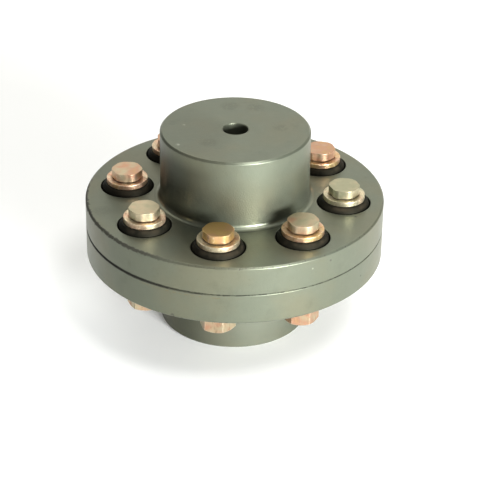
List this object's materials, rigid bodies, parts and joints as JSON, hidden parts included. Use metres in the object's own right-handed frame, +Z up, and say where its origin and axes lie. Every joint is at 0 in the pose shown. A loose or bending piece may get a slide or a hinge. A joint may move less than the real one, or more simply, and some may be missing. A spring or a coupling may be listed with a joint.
{
  "type": "flexible flanged pin coupling",
  "caption": "Flexible shaft coupling: two flanged hubs face to face, joined by steel pins that run in rubber bushes, with nuts behind the lower flange.",
  "frame": {"origin": "centre of the lower hub's end face, which the coupling stands on", "axes": "+Z up the shaft axis, towards the upper hub's end; -Y towards the camera of the picture"},
  "size_m": [0.18, 0.18, 0.1255],
  "materials": {
    "casting_paint": "satin",
    "plated_steel": "satin",
    "black_rubber": "matte"
  },
  "bodies": {
    "root": {"upper_flanged_hub": "casting_paint", "lower_flanged_hub": "casting_paint", "coupling_pin_1": "plated_steel", "coupling_pin_2": "plated_steel", "coupling_pin_3": "plated_steel", "coupling_pin_4": "plated_steel", "coupling_pin_5": "plated_steel", "coupling_pin_6": "plated_steel", "coupling_pin_7": "plated_steel", "coupling_pin_8": "plated_steel", "head_washer_1": "plated_steel", "head_washer_2": "plated_steel", "head_washer_3": "plated_steel", "head_washer_4": "plated_steel", "head_washer_5": "plated_steel", "head_washer_6": "plated_steel", "head_washer_7": "plated_steel", "head_washer_8": "plated_steel", "rubber_bush_1": "black_rubber", "rubber_bush_2": "black_rubber", "rubber_bush_3": "black_rubber", "rubber_bush_4": "black_rubber", "rubber_bush_5": "black_rubber", "rubber_bush_6": "black_rubber", "rubber_bush_7": "black_rubber", "rubber_bush_8": "black_rubber", "distance_washer_1": "plated_steel", "distance_washer_2": "plated_steel", "distance_washer_3": "plated_steel", "distance_washer_4": "plated_steel", "distance_washer_5": "plated_steel", "distance_washer_6": "plated_steel", "distance_washer_7": "plated_steel", "distance_washer_8": "plated_steel", "spring_washer_1": "plated_steel", "spring_washer_2": "plated_steel", "spring_washer_3": "plated_steel", "spring_washer_4": "plated_steel", "spring_washer_5": "plated_steel", "spring_washer_6": "plated_steel", "spring_washer_7": "plated_steel", "spring_washer_8": "plated_steel", "hex_nut_1": "plated_steel", "hex_nut_2": "plated_steel", "hex_nut_3": "plated_steel", "hex_nut_4": "plated_steel", "hex_nut_5": "plated_steel", "hex_nut_6": "plated_steel", "hex_nut_7": "plated_steel", "hex_nut_8": "plated_steel"}
  },
  "joints": []
}
